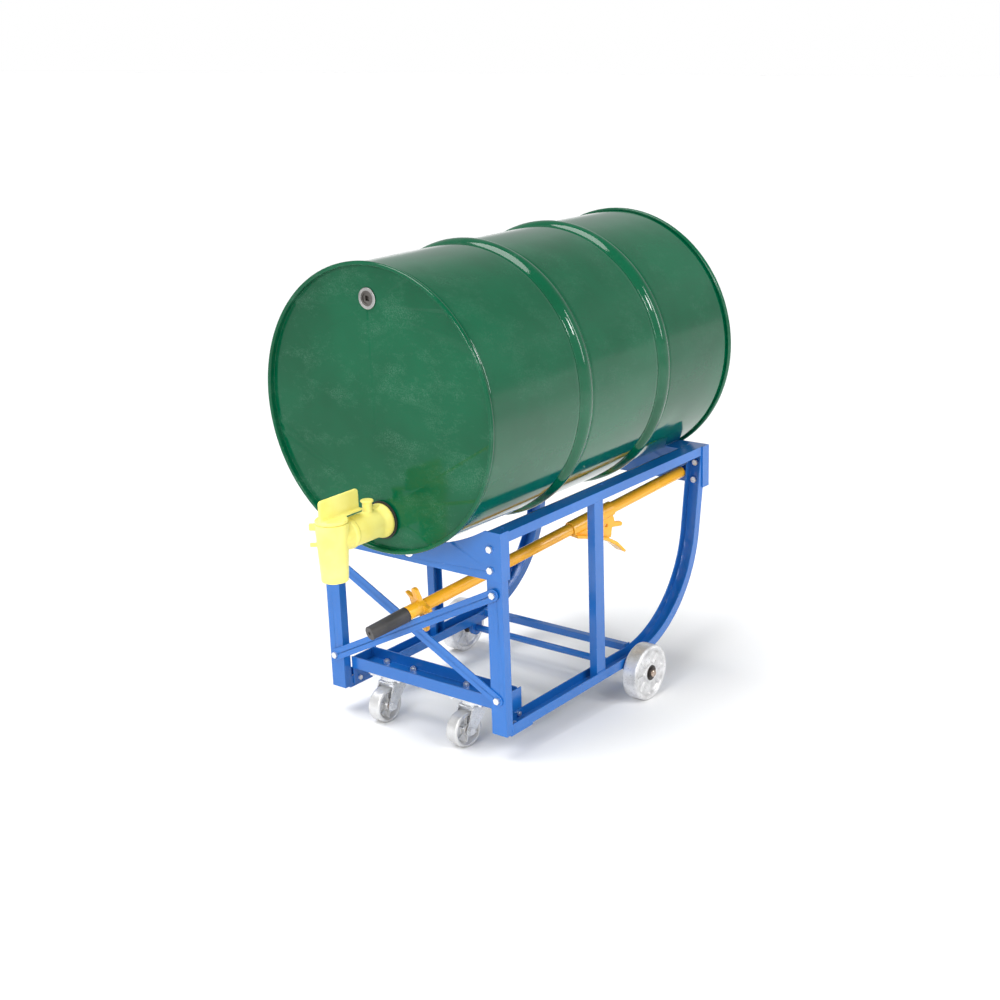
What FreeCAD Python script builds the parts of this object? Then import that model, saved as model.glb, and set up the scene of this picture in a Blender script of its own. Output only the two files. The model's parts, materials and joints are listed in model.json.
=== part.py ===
import FreeCAD, Part
import math
import os

# Drum dolly with a drum lying on it. Millimetres. Everything is laid out level, with X across, Y rearwards from the
# drum's front rim and Z up, and then leans nose-down on its wheels, so that the drum drains to its faucet.
V = FreeCAD.Vector

# frame members: one pressed channel section all round
HALF_WIDTH = 241.5
SECTION = 38.0
DEPTH = 21.0
WALL = 3.0
INNER = HALF_WIDTH - SECTION
MID_X = HALF_WIDTH - SECTION / 2
RAIL_TOP = 516.0
RAIL_BOTTOM = RAIL_TOP - DEPTH
RAIL_UNDER = 83.5
POST_FRONT = 79.0
POST_BACK = POST_FRONT + DEPTH
REAR_FACE = 859.0
MID_POST = (405.0, 437.0)
MID_POST_DEPTH = 19.0

# rocker rail: straight, one large bend, straight
BEND_START = 553.0
BEND_RADIUS = 275.0
BEND_ANGLE = math.radians(81.0)

# saddles
SADDLE_BOTTOM = 418.0
SADDLE_SIDE = 27.0
FRONT_SHOULDER = 520.0
FRONT_ARC = 400.0
SEAT = 463.5
NOTCH = 16.0
NOTCH_BOTTOM = 427.0
REAR_SHELF = 62.0

# crossed brace bars
BAR = (25.0, 3.0)
BRACE_LOW = (222.0, 161.0)
BRACE_HIGH = (222.0, 389.0)

# casters
CASTER = V(112.0, 135.0, 126.0)
CASTER_PLATE = (95.0, 64.0, 3.0)
CASTER_HOLES = (38.0, 22.25)
CASTER_WHEEL = (38.0, 32.0)
CASTER_TRAIL = 32.0
CASTER_AXLE_Z = 61.0
FORK_WIDTH = 45.0
RIGHT_CASTER_TURN = -7.8
RUNNING = 0.05

# rear wheels
REAR_Y = 555.0
REAR_RADIUS = 63.5
REAR_WHEEL_X = (244.0, 282.0)
AXLE_RADIUS = 8.0
AXLE_HALF = 290.0

# lever: axis origin at the posts' front faces, and its direction
LEVER_AT = V(0.0, 79.0, 305.6)
LEVER_DIR = V(0.23969, 0.95341, 0.18319)
TUBE = (13.35, 10.45)
LEVER_END = 788.0
GRIP = (-107.0, -12.0)
GRIP_RADII = (14.8, 16.5)
TUBE_START = GRIP[0] + 45.0

# drum
DRUM_Z = 751.0
DRUM_RADIUS = 287.0
CHIME_RADIUS = 292.5
DRUM_LENGTH = 878.0
SHEET = 1.5
HOOPS = (317.0, 605.0)
HOOP = (9.0, 18.0)
HEAD_DEPTH = 12.0
BUNG_DROP = 225.0
VENT_RISE = 219.0
VENT_X = -10.0

# faucet
SPOUT_Y = -136.0
SPOUT_TOP = 560.0
SPOUT_BOTTOM = 442.0
SPOUT_RADII = (33.0, 26.5)
SPOUT_BORE = 22.5
CHAMBER_BORE = 24.5
CHAMBER_Z = 500.0
BARREL_RADIUS = 30.0
BARREL_Z = DRUM_Z - BUNG_DROP

LEVER_SIDE = LEVER_DIR.cross(V(0, 0, 1)).normalize()
LEVER_UP = LEVER_SIDE.cross(LEVER_DIR).normalize()
X_AXIS = V(1, 0, 0)
Y_AXIS = V(0, 1, 0)
Z_AXIS = V(0, 0, 1)


def block(x, y, z):
    """Box between pairs of limits."""
    return Part.makeBox(x[1] - x[0], y[1] - y[0], z[1] - z[0], V(x[0], y[0], z[0]))


def rod(start, direction, length, radius):
    return Part.makeCylinder(radius, length, start, direction)


def tube(start, direction, length, outer, inner):
    return rod(start, direction, length, outer).cut(rod(start, direction, length, inner))


def turned(profile, base, direction):
    """Solid of revolution of a closed outline of (radius, distance along) points."""
    points = [V(r, 0, t) for r, t in profile]
    face = Part.Face(Part.makePolygon(points + [points[0]]))
    solid = face.revolve(V(0, 0, 0), Z_AXIS, 360)
    solid.Placement = FreeCAD.Placement(base, FreeCAD.Rotation(Z_AXIS, direction))
    return solid


def plate(edges, thickness_vector):
    return Part.Face(Part.Wire(edges)).extrude(thickness_vector)


def outline(points):
    """Straight edges through the points and back to the first."""
    return Part.makePolygon(list(points) + [points[0]]).Edges


def joined(shapes):
    return shapes[0].multiFuse(shapes[1:]).removeSplitter()


def mirrored(shape):
    return shape.mirror(V(0, 0, 0), X_AXIS)


def hexagon(start, direction, length, across):
    """Hexagonal prism, across flats, with its corners turned a little off the axes."""
    corner = across / math.sqrt(3)
    points = [V(corner * math.cos(math.radians(60 * k + 10)), corner * math.sin(math.radians(60 * k + 10)), 0)
              for k in range(6)]
    prism = Part.Face(Part.makePolygon(points + [points[0]])).extrude(V(0, 0, length))
    prism.Placement = FreeCAD.Placement(start, FreeCAD.Rotation(Z_AXIS, direction))
    return prism


class Fastener:
    """Bolt with its nut: the head's seat, the way the shank runs, the grip length and the shank's radius."""

    def __init__(self, seat, direction, grip, radius=4.0, head=5.0, nut=6.0, tail=3.0):
        self.seat = seat
        self.direction = direction
        self.grip = grip
        self.radius = radius
        self.head = head
        self.nut = nut
        self.tail = tail

    def hole(self):
        start = self.seat - self.direction * 1.0
        return rod(start, self.direction, self.grip + 2.0, self.radius + 0.2)

    def solids(self):
        across = self.radius * 3.25
        length = self.grip + self.nut + self.tail
        shank = rod(self.seat, self.direction, length, self.radius)
        head = hexagon(self.seat - self.direction * self.head, self.direction, self.head, across)
        nut = hexagon(self.seat + self.direction * self.grip, self.direction, self.nut, across)
        return [head.fuse(shank).removeSplitter(), nut.cut(shank)]


# ---------------------------------------------------------------- frame

def front_post():
    outer = block((INNER, HALF_WIDTH), (POST_FRONT, POST_BACK), (RAIL_UNDER, RAIL_BOTTOM))
    inner = block((INNER + WALL, HALF_WIDTH - WALL), (POST_FRONT + WALL, POST_BACK), (RAIL_UNDER, RAIL_BOTTOM))
    return outer.cut(inner)


def mid_post():
    outside = HALF_WIDTH - WALL
    bottom = RAIL_UNDER + WALL
    top = RAIL_TOP - WALL
    outer = block((outside - MID_POST_DEPTH, outside), MID_POST, (bottom, top))
    hollow_y = (MID_POST[0] + WALL, MID_POST[1] - WALL)
    return outer.cut(block((outside - MID_POST_DEPTH, outside - WALL), hollow_y, (bottom, top)))


def top_rail():
    ends = (POST_FRONT, REAR_FACE)
    outer = block((INNER, HALF_WIDTH), ends, (RAIL_BOTTOM, RAIL_TOP))
    rail = outer.cut(block((INNER + WALL, HALF_WIDTH - WALL), ends, (RAIL_BOTTOM, RAIL_TOP - WALL)))
    for y in (119.0, 465.0):
        rail = rail.cut(rod(V(MID_X - 5, y, RAIL_TOP - 10), Z_AXIS, 20, 3.5))
    return rail


def rocker_band(near, far, start, end_z):
    """Region between two depths measured inwards from the rocker's outer line, at X = 0."""
    centre = (BEND_START, RAIL_UNDER + BEND_RADIUS)

    def on_bend(depth, angle):
        radius = BEND_RADIUS - depth
        return V(0, centre[0] + radius * math.sin(angle), centre[1] - radius * math.cos(angle))

    def at_end(depth):
        bend_end = on_bend(depth, BEND_ANGLE)
        return V(0, bend_end.y + (end_z - bend_end.z) / math.tan(BEND_ANGLE), end_z)

    def bend(depth):
        return Part.Arc(on_bend(depth, 0), on_bend(depth, BEND_ANGLE / 2), on_bend(depth, BEND_ANGLE)).toShape()

    def line(a, b):
        return Part.LineSegment(a, b).toShape()

    near_start = V(0, start, RAIL_UNDER + near)
    far_start = V(0, start, RAIL_UNDER + far)
    edges = [line(near_start, on_bend(near, 0)), bend(near), line(on_bend(near, BEND_ANGLE), at_end(near))]
    edges += [line(at_end(near), at_end(far)), line(at_end(far), on_bend(far, BEND_ANGLE)), bend(far)]
    edges += [line(on_bend(far, 0), far_start), line(far_start, near_start)]
    return Part.Face(Part.Wire(Part.__sortEdges__(edges)))


def rocker():
    outer = rocker_band(0, DEPTH, POST_BACK, RAIL_BOTTOM).extrude(V(SECTION, 0, 0))
    hollow = rocker_band(WALL, DEPTH + 1, POST_BACK - 1, RAIL_BOTTOM + 1).extrude(V(SECTION - 2 * WALL, 0, 0))
    outer.translate(V(INNER, 0, 0))
    hollow.translate(V(INNER + WALL, 0, 0))
    return outer.cut(hollow)


def foot_pad():
    return block((INNER, HALF_WIDTH), (95.0, 167.0), (RAIL_UNDER - 4.0, RAIL_UNDER))


def front_saddle():
    edge = HALF_WIDTH + WALL
    face = POST_FRONT - WALL
    centre_z = SEAT + FRONT_ARC
    half = math.sqrt(FRONT_ARC ** 2 - (centre_z - FRONT_SHOULDER) ** 2)
    right = V(half, face, FRONT_SHOULDER)
    left = V(-half, face, FRONT_SHOULDER)
    corners = [left, V(-edge, face, FRONT_SHOULDER), V(-edge, face, SADDLE_BOTTOM), V(edge, face, SADDLE_BOTTOM),
               V(edge, face, FRONT_SHOULDER), right]
    edges = Part.makePolygon(corners).Edges
    edges.append(Part.Arc(right, V(0, face, SEAT), left).toShape())
    sheet = plate(edges, V(0, WALL, 0))
    slot = block((-NOTCH, NOTCH), (face - 1, POST_FRONT + 1), (NOTCH_BOTTOM + NOTCH, SEAT + 5))
    sheet = sheet.cut(slot).cut(rod(V(0, face - 1, NOTCH_BOTTOM + NOTCH), Y_AXIS, WALL + 2, NOTCH))
    sides = [block((HALF_WIDTH, edge), (face, face + SADDLE_SIDE), (SADDLE_BOTTOM, FRONT_SHOULDER)),
             block((-edge, -HALF_WIDTH), (face, face + SADDLE_SIDE), (SADDLE_BOTTOM, FRONT_SHOULDER))]
    return joined([sheet] + sides)


def rear_saddle():
    edge = HALF_WIDTH + WALL
    seat_radius = DRUM_RADIUS + 0.4
    half = math.sqrt(seat_radius ** 2 - (DRUM_Z - RAIL_TOP) ** 2)
    right = V(half, REAR_FACE, RAIL_TOP)
    left = V(-half, REAR_FACE, RAIL_TOP)
    corners = [left, V(-edge, REAR_FACE, RAIL_TOP), V(-edge, REAR_FACE, SADDLE_BOTTOM),
               V(edge, REAR_FACE, SADDLE_BOTTOM), V(edge, REAR_FACE, RAIL_TOP), right]
    edges = Part.makePolygon(corners).Edges
    edges.append(Part.Arc(right, V(0, REAR_FACE, DRUM_Z - seat_radius), left).toShape())
    sheet = plate(edges, V(0, WALL, 0))
    slot = block((-NOTCH, NOTCH), (REAR_FACE - 1, REAR_FACE + 4), (NOTCH_BOTTOM + NOTCH, SEAT + 5))
    sheet = sheet.cut(slot).cut(rod(V(0, REAR_FACE - 1, NOTCH_BOTTOM + NOTCH), Y_AXIS, WALL + 2, NOTCH))
    back = REAR_FACE + WALL
    sides = [block((HALF_WIDTH, edge), (back - SADDLE_SIDE, back), (SADDLE_BOTTOM, RAIL_TOP)),
             block((-edge, -HALF_WIDTH), (back - SADDLE_SIDE, back), (SADDLE_BOTTOM, RAIL_TOP))]
    shelves = [block((half, INNER), (REAR_FACE - REAR_SHELF, REAR_FACE), (RAIL_TOP - WALL, RAIL_TOP)),
               block((-INNER, -half), (REAR_FACE - REAR_SHELF, REAR_FACE), (RAIL_TOP - WALL, RAIL_TOP))]
    return joined([sheet] + sides + shelves)


def brace_bar(low_x, front):
    """Flat bar from one post's lower bolt to the other post's upper bolt."""
    low = V(low_x, front, BRACE_LOW[1])
    high = V(-low_x, front, BRACE_HIGH[1])
    along = (high - low).normalize()
    across = along.cross(Y_AXIS) * (BAR[0] / 2)
    body = plate(outline([low + across, high + across, high - across, low - across]), V(0, BAR[1], 0))
    ends = [rod(p, Y_AXIS, BAR[1], BAR[0] / 2) for p in (low, high)]
    return joined([body] + ends)


def caster_crossmember():
    half = INNER - WALL
    outer = block((-half, half), (100.0, 170.0), (CASTER.z, CASTER.z + 27.0))
    return outer.cut(block((-half, half), (103.0, 167.0), (CASTER.z + WALL, CASTER.z + 27.0)))


def crossmember_bracket():
    return block((INNER - WALL, INNER), (105.0, 180.0), (RAIL_UNDER + WALL, 150.0))


def rear_cross_bar():
    return block((-INNER, INNER), (567.0, 583.0), (93.0, 109.0))


def axle():
    bar = rod(V(-AXLE_HALF, REAR_Y, REAR_RADIUS), X_AXIS, 2 * AXLE_HALF, AXLE_RADIUS)
    ends = [e for e in bar.Edges if abs(abs(e.CenterOfMass.x) - AXLE_HALF) < 0.1]
    return bar.makeChamfer(1.5, ends)


def axle_bracket():
    x = (217.0, 228.0)
    cheek = block(x, (REAR_Y - 18, REAR_Y + 18), (REAR_RADIUS, RAIL_UNDER))
    eye = rod(V(x[0], REAR_Y, REAR_RADIUS), X_AXIS, x[1] - x[0], 18.0)
    return joined([cheek, eye]).cut(rod(V(x[0] - 1, REAR_Y, REAR_RADIUS), X_AXIS, 13, AXLE_RADIUS))


def axle_clips():
    solids = []
    for side in (1, -1):
        direction = X_AXIS * side
        hub = V(0, REAR_Y, REAR_RADIUS)
        solids.append(tube(hub + direction * (HALF_WIDTH + 0.3), direction, 1.2, 14.0, AXLE_RADIUS))
        solids.append(tube(hub + direction * 283.3, direction, 1.6, 12.5, AXLE_RADIUS))
    return solids


def lever_peg():
    start = LEVER_AT + LEVER_DIR * (LEVER_END - 12.0)
    length = (REAR_FACE - start.y) / LEVER_DIR.y + 12.0
    peg = rod(start, LEVER_DIR, length, 9.6)
    return peg.cut(block((0, 300), (REAR_FACE, REAR_FACE + 60), (380, 520)))


# ---------------------------------------------------------------- fasteners

def front_saddle_bolts():
    seats = [V(x, POST_FRONT - WALL, z) for x in (-217.0, 217.0) for z in (483.6, 439.6)]
    return [Fastener(seat, Y_AXIS, 2 * WALL) for seat in seats]


def rear_saddle_bolts():
    """From the rocker's inner face rearwards through a spacer to the saddle plate."""
    bolts = []
    for x in (-218.5, 218.5):
        for z in (473.0, 433.0):
            rail_y = BEND_START + BEND_RADIUS * math.sin(BEND_ANGLE)
            rail_z = RAIL_UNDER + BEND_RADIUS * (1 - math.cos(BEND_ANGLE))
            web_y = rail_y + (z - rail_z) / math.tan(BEND_ANGLE) - WALL / math.sin(BEND_ANGLE) - 1.3
            bolts.append(Fastener(V(x, web_y, z), Y_AXIS, REAR_FACE + WALL - web_y))
    return bolts


def rear_spacers():
    """Distance pieces that fill the wedge between each rocker and the saddle plate."""
    solids = []
    for bolt in rear_saddle_bolts():
        gap_start = V(bolt.seat.x, bolt.seat.y + WALL + 3.2, bolt.seat.z)
        solids.append(tube(gap_start, Y_AXIS, REAR_FACE - gap_start.y, 8.0, 4.2))
    return solids


def brace_bolts():
    bolts = []
    for x, z, front in ((-222.0, BRACE_LOW[1], 73.0), (222.0, BRACE_HIGH[1], 73.0),
                        (222.0, BRACE_LOW[1], 76.0), (-222.0, BRACE_HIGH[1], 76.0)):
        bolts.append(Fastener(V(x, front, z), Y_AXIS, POST_FRONT + WALL - front))
    return bolts


def brace_washers():
    return [tube(V(x, 76.0, z), Y_AXIS, BAR[1], 9.0, 4.2)
            for x, z in ((-222.0, BRACE_LOW[1]), (222.0, BRACE_HIGH[1]))]


def caster_bolts():
    seats = []
    for side in (-1, 1):
        for dx in (-CASTER_HOLES[0], CASTER_HOLES[0]):
            for dy in (-CASTER_HOLES[1], CASTER_HOLES[1]):
                seats.append(V(side * CASTER.x + dx, CASTER.y + dy, CASTER.z - CASTER_PLATE[2]))
    return [Fastener(seat, Z_AXIS, CASTER_PLATE[2] + WALL) for seat in seats]


def foot_bolts():
    return [Fastener(V(x, 130.0, RAIL_UNDER - 4.0), Z_AXIS, 7.0, head=2.0) for x in (-MID_X, MID_X)]


def bracket_bolts():
    bolts = []
    for side in (-1, 1):
        for y in (122.0, 164.0):
            bolts.append(Fastener(V(side * (INNER - WALL), y, 96.0), X_AXIS * side, 2 * WALL, radius=3.0, head=4.0,
                                  nut=4.5, tail=2.0))
    return bolts


# ---------------------------------------------------------------- casters

def caster_plate():
    """Top plate with the domed upper race, about the swivel axis at X = Y = 0."""
    lx, ly, lz = CASTER_PLATE
    top = CASTER.z
    sheet = block((-lx / 2, lx / 2), (-ly / 2, ly / 2), (top - lz, top))
    corners = [e for e in sheet.Edges if abs(e.tangentAt(e.FirstParameter).z) > 0.9]
    sheet = sheet.makeFillet(7.0, corners)
    dome = turned([(0, -3), (23, -3), (26.5, -5.5), (27.5, -9), (27.5, -13), (24.2, -13), (24.2, -7), (0, -7)],
                  V(0, 0, top), Z_AXIS)
    solid = joined([sheet, dome])
    return solid.cut(rod(V(0, 0, top - 14), Z_AXIS, 12.5, 5.0 + RUNNING))


def fork_leg(side):
    """Cheek that tapers from the crown down to the wheel's axle."""
    inner = FORK_WIDTH / 2 - WALL
    x = inner if side > 0 else -FORK_WIDTH / 2
    eye = (-CASTER_TRAIL, CASTER_AXLE_Z)
    reach = 11.0
    top = CASTER.z - 18.0
    profile = [V(x, -24, top), V(x, 23, top), V(x, 20, top - 9), V(x, eye[0] + reach * 0.75, eye[1] - reach * 0.66),
               V(x, eye[0] - reach * 0.97, eye[1] - reach * 0.24), V(x, eye[0] - reach, eye[1] + 2)]
    cheek = plate(outline(profile), V(WALL, 0, 0))
    eye_disc = rod(V(x, eye[0], eye[1]), X_AXIS, WALL, reach)
    return cheek.fuse(eye_disc)


def caster_fork():
    top = CASTER.z - 18.0
    crown = block((-FORK_WIDTH / 2, FORK_WIDTH / 2), (-24, 23), (top - WALL, top))
    race = turned([(0, top - 1), (22, top - 1), (23.6, top + 2), (23.6, CASTER.z - 8.5), (0, CASTER.z - 8.5)],
                  V(0, 0, 0), Z_AXIS)
    solid = joined([crown, fork_leg(1), fork_leg(-1), race])
    solid = solid.cut(rod(V(0, 0, top - 10), Z_AXIS, 40, 5.0))
    return solid.cut(rod(V(-40, -CASTER_TRAIL, CASTER_AXLE_Z), X_AXIS, 80, 4.8))


def kingpin():
    top = CASTER.z - 18.0
    head = turned([(0, -7), (4, -7), (7, -6), (8.5, -3), (0, -3)], V(0, 0, top), Z_AXIS)
    return joined([head, rod(V(0, 0, top - 3), Z_AXIS, CASTER.z - 2.2 - top + 3, 5.0)])


def caster_axle():
    centre = V(0, -CASTER_TRAIL, CASTER_AXLE_Z)
    half = FORK_WIDTH / 2
    shank = rod(centre - X_AXIS * (half + 8), X_AXIS, 2 * half + 8, 4.8)
    head = hexagon(centre + X_AXIS * half, X_AXIS, 5.0, 15.0)
    nut = hexagon(centre - X_AXIS * (half + 6), X_AXIS, 6.0, 15.0)
    return joined([shank, head, nut])


def ribbed_wheel(radius, width, rim, hub, web, rib, ribs, bore):
    """Cast wheel about +X: tread, web, hub, and radial ribs on both faces; centred on the origin."""
    h = width / 2
    edge = 5.0
    turns = [math.radians(15 * k) for k in range(7)]
    side = [(bore, h), (hub, h), (hub + 1.5, web), (rim - 5.0, web), (rim, h - 1.0)]
    side += [(radius - edge * (1 - math.sin(a)), h - edge * (1 - math.cos(a))) for a in turns]
    profile = side + [(r, -x) for r, x in reversed(side)]
    wheel = turned(profile, V(0, 0, 0), X_AXIS)
    spokes = []
    for k in range(ribs):
        spoke = block((-rib, rib), (-1.6, 1.6), (hub - 1.5, rim + 1.5))
        spoke.rotate(V(0, 0, 0), X_AXIS, 360.0 * k / ribs)
        spokes.append(spoke)
    return joined([wheel] + spokes)


def caster_wheel():
    wheel = ribbed_wheel(CASTER_WHEEL[0], CASTER_WHEEL[1], 31.0, 12.0, 5.0, 11.0, 6, 7.5)
    wheel.translate(V(0, -CASTER_TRAIL, CASTER_AXLE_Z))
    return wheel


def caster_bushing():
    start = V(-CASTER_WHEEL[1] / 2 - 2.5, -CASTER_TRAIL, CASTER_AXLE_Z)
    return tube(start, X_AXIS, CASTER_WHEEL[1] + 5.0, 7.5, 4.8 + RUNNING)


def placed_caster(shape, side):
    turn = RIGHT_CASTER_TURN if side > 0 else 0.0
    shape.rotate(V(0, 0, 0), Z_AXIS, turn)
    shape.translate(V(side * CASTER.x, CASTER.y, 0))
    return shape


# ---------------------------------------------------------------- rear wheels

def rear_wheel():
    wheel = ribbed_wheel(REAR_RADIUS, REAR_WHEEL_X[1] - REAR_WHEEL_X[0], 54.0, 21.0, 11.0, 15.5, 8, 17.0)
    wheel.translate(V(sum(REAR_WHEEL_X) / 2, REAR_Y, REAR_RADIUS))
    return wheel


def rear_bearing():
    start = V(REAR_WHEEL_X[0] - 0.7, REAR_Y, REAR_RADIUS)
    return tube(start, X_AXIS, REAR_WHEEL_X[1] - REAR_WHEEL_X[0] + 1.4, 17.0, AXLE_RADIUS + RUNNING)


# ---------------------------------------------------------------- lever

def on_lever(along, side=0.0, up=0.0):
    return LEVER_AT + LEVER_DIR * along + LEVER_SIDE * side + LEVER_UP * up


def lever_tube():
    start = TUBE_START
    return tube(on_lever(start), LEVER_DIR, LEVER_END - start, TUBE[0], TUBE[1])


def lever_grip():
    length = GRIP[1] - GRIP[0]
    sleeve = Part.makeCone(GRIP_RADII[0], GRIP_RADII[1], length, on_lever(GRIP[0]), LEVER_DIR)
    edges = [e for e in sleeve.Edges if e.Length < 2 * math.pi * GRIP_RADII[1] + 1 and len(e.Vertexes) == 1]
    sleeve = sleeve.makeFillet(1.5, edges)
    sleeve = sleeve.cut(rod(on_lever(TUBE_START), LEVER_DIR, length, TUBE[0]))
    return sleeve.cut(rod(on_lever(GRIP[0] - 1.0), LEVER_DIR, 10.0, 4.0))


def lever_plate(points, thickness, start):
    """Flat casting across the lever, from (side, up) points, starting at a distance along it."""
    corners = [on_lever(start, side, up) for side, up in points]
    return plate(outline(corners), LEVER_DIR * thickness)


def bung_wrench():
    thickness, start = 9.0, 22.0
    hub = rod(on_lever(GRIP[1] + 0.5), LEVER_DIR, 44.0, 16.2)
    relief = lever_plate([(17, 17), (17, -6.6), (0, -14.9), (0, -14.0), (-17, -5.7), (-17, 17)], 50.0, GRIP[1])
    hub = hub.common(relief)
    lobes = [lever_plate(points, thickness, start) for points in (
        [(-10, -8), (10, -8), (8, -50), (4, -57), (-4, -57), (-8, -50)],
        [(-14, 6), (10, 8), (2, 24), (-3, 38), (-8, 42), (-16, 41), (-20, 36), (-18, 24)],
        [(-6, -12), (-31, -8), (-34, 14), (-46, 22), (-44, 26), (-30, 22), (-14, 18), (-8, 14)],
        [(6, -9), (30, -6), (34, 0), (30, 6), (6, 10)])]
    return joined([hub] + lobes).cut(rod(on_lever(GRIP[1] - 1.0), LEVER_DIR, 60.0, TUBE[0]))


def chime_hook():
    """Casting under the pipe: sleeve, web, curved shoe that hooks over a rim, and a finger above it."""
    def web_point(along, up, side):
        return on_lever(along, side, up)

    sleeve = rod(on_lever(440.0), LEVER_DIR, 124.0, 17.0)
    web_outline = [(418, -8), (446, -18), (482, -34), (531, -60), (548, -66), (556, -44), (584, -52), (588, -46),
                   (584, -41), (566, -34), (564, -8)]
    web = plate(outline([web_point(s, u, -4.5) for s, u in web_outline]), LEVER_SIDE * 9.0)
    shoe_outline = [(446, -14), (482, -31), (531, -56), (556, -78), (576, -108), (571, -111), (550, -84),
                    (526, -62), (480, -38), (446, -22)]
    shoe = plate(outline([web_point(s, u, -16.0) for s, u in shoe_outline]), LEVER_SIDE * 32.0)
    solid = joined([sleeve, web, shoe])
    solid = solid.cut(rod(on_lever(400.0), LEVER_DIR, 200.0, TUBE[0]))
    return solid.cut(rod(on_lever(540.0, -10.0, -33.0), LEVER_SIDE, 20.0, 4.0))


# ---------------------------------------------------------------- drum

def drum_shell():
    """Body sheet with two rolling hoops, between the two end seams."""
    seam = HEAD_DEPTH - 2.0
    rise, half = HOOP

    def wall_line(radius):
        edges = []
        here = V(radius, 0, seam)
        for hoop in HOOPS:
            foot = V(radius, 0, hoop - half)
            edges.append(Part.LineSegment(here, foot).toShape())
            here = V(radius, 0, hoop + half)
            edges.append(Part.Arc(foot, V(radius + rise, 0, hoop), here).toShape())
        edges.append(Part.LineSegment(here, V(radius, 0, DRUM_LENGTH - seam)).toShape())
        return edges

    outside = wall_line(DRUM_RADIUS)
    inside = wall_line(DRUM_RADIUS - SHEET)
    caps = [Part.LineSegment(V(DRUM_RADIUS - SHEET, 0, t), V(DRUM_RADIUS, 0, t)).toShape()
            for t in (seam, DRUM_LENGTH - seam)]
    face = Part.Face(Part.Wire(Part.__sortEdges__(outside + inside + caps)))
    shell = face.revolve(V(0, 0, 0), Z_AXIS, 360)
    shell.Placement = FreeCAD.Placement(V(0, 0, DRUM_Z), FreeCAD.Rotation(Z_AXIS, Y_AXIS))
    return shell


def drum_head(base_y, direction):
    """Sunk end sheet with its upstanding wall and the rolled seam around it."""
    wall = DRUM_RADIUS - SHEET
    profile = [(0, HEAD_DEPTH), (wall - SHEET, HEAD_DEPTH), (wall - SHEET, 2.5), (wall + 0.5, 0), (CHIME_RADIUS - 2, 0),
               (CHIME_RADIUS, 2.5), (CHIME_RADIUS, 7.5), (CHIME_RADIUS - 2, HEAD_DEPTH - 2),
               (wall, HEAD_DEPTH - 2), (wall, HEAD_DEPTH + SHEET), (0, HEAD_DEPTH + SHEET)]
    return turned(profile, V(0, base_y, DRUM_Z), direction)


def bung_at(y):
    return V(0, y, BARREL_Z)


def vent_at(y):
    return V(VENT_X, y, DRUM_Z + VENT_RISE)


def drum_head_front():
    head = drum_head(0.0, Y_AXIS)
    return head.cut(rod(bung_at(0), Y_AXIS, 30, 32.0)).cut(rod(vent_at(0), Y_AXIS, 30, 18.0))


def bung_flange():
    boss = turned([(28.3, -3), (36, -3), (37, -2), (37, 0), (32, 0), (32, 14), (28.3, 14)], bung_at(HEAD_DEPTH), Y_AXIS)
    return boss


def vent_flange():
    return turned([(15.1, -3), (20.5, -3), (21.5, -2), (21.5, 0), (18, 0), (18, 10), (15.1, 10)],
                  vent_at(HEAD_DEPTH), Y_AXIS)


def vent_plug():
    plug = rod(vent_at(HEAD_DEPTH - 2.0), Y_AXIS, 11.0, 15.0)
    recess = block((VENT_X - 5, VENT_X + 5), (HEAD_DEPTH - 3, HEAD_DEPTH + 4),
                   (DRUM_Z + VENT_RISE - 5, DRUM_Z + VENT_RISE + 5))
    dish = rod(vent_at(HEAD_DEPTH - 3.0), Y_AXIS, 2.5, 11.5)
    return plug.cut(dish).cut(recess)


def faucet_gasket():
    return tube(bung_at(HEAD_DEPTH - 6.0), Y_AXIS, 3.0, 39.0, 28.2)


# ---------------------------------------------------------------- faucet

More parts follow.
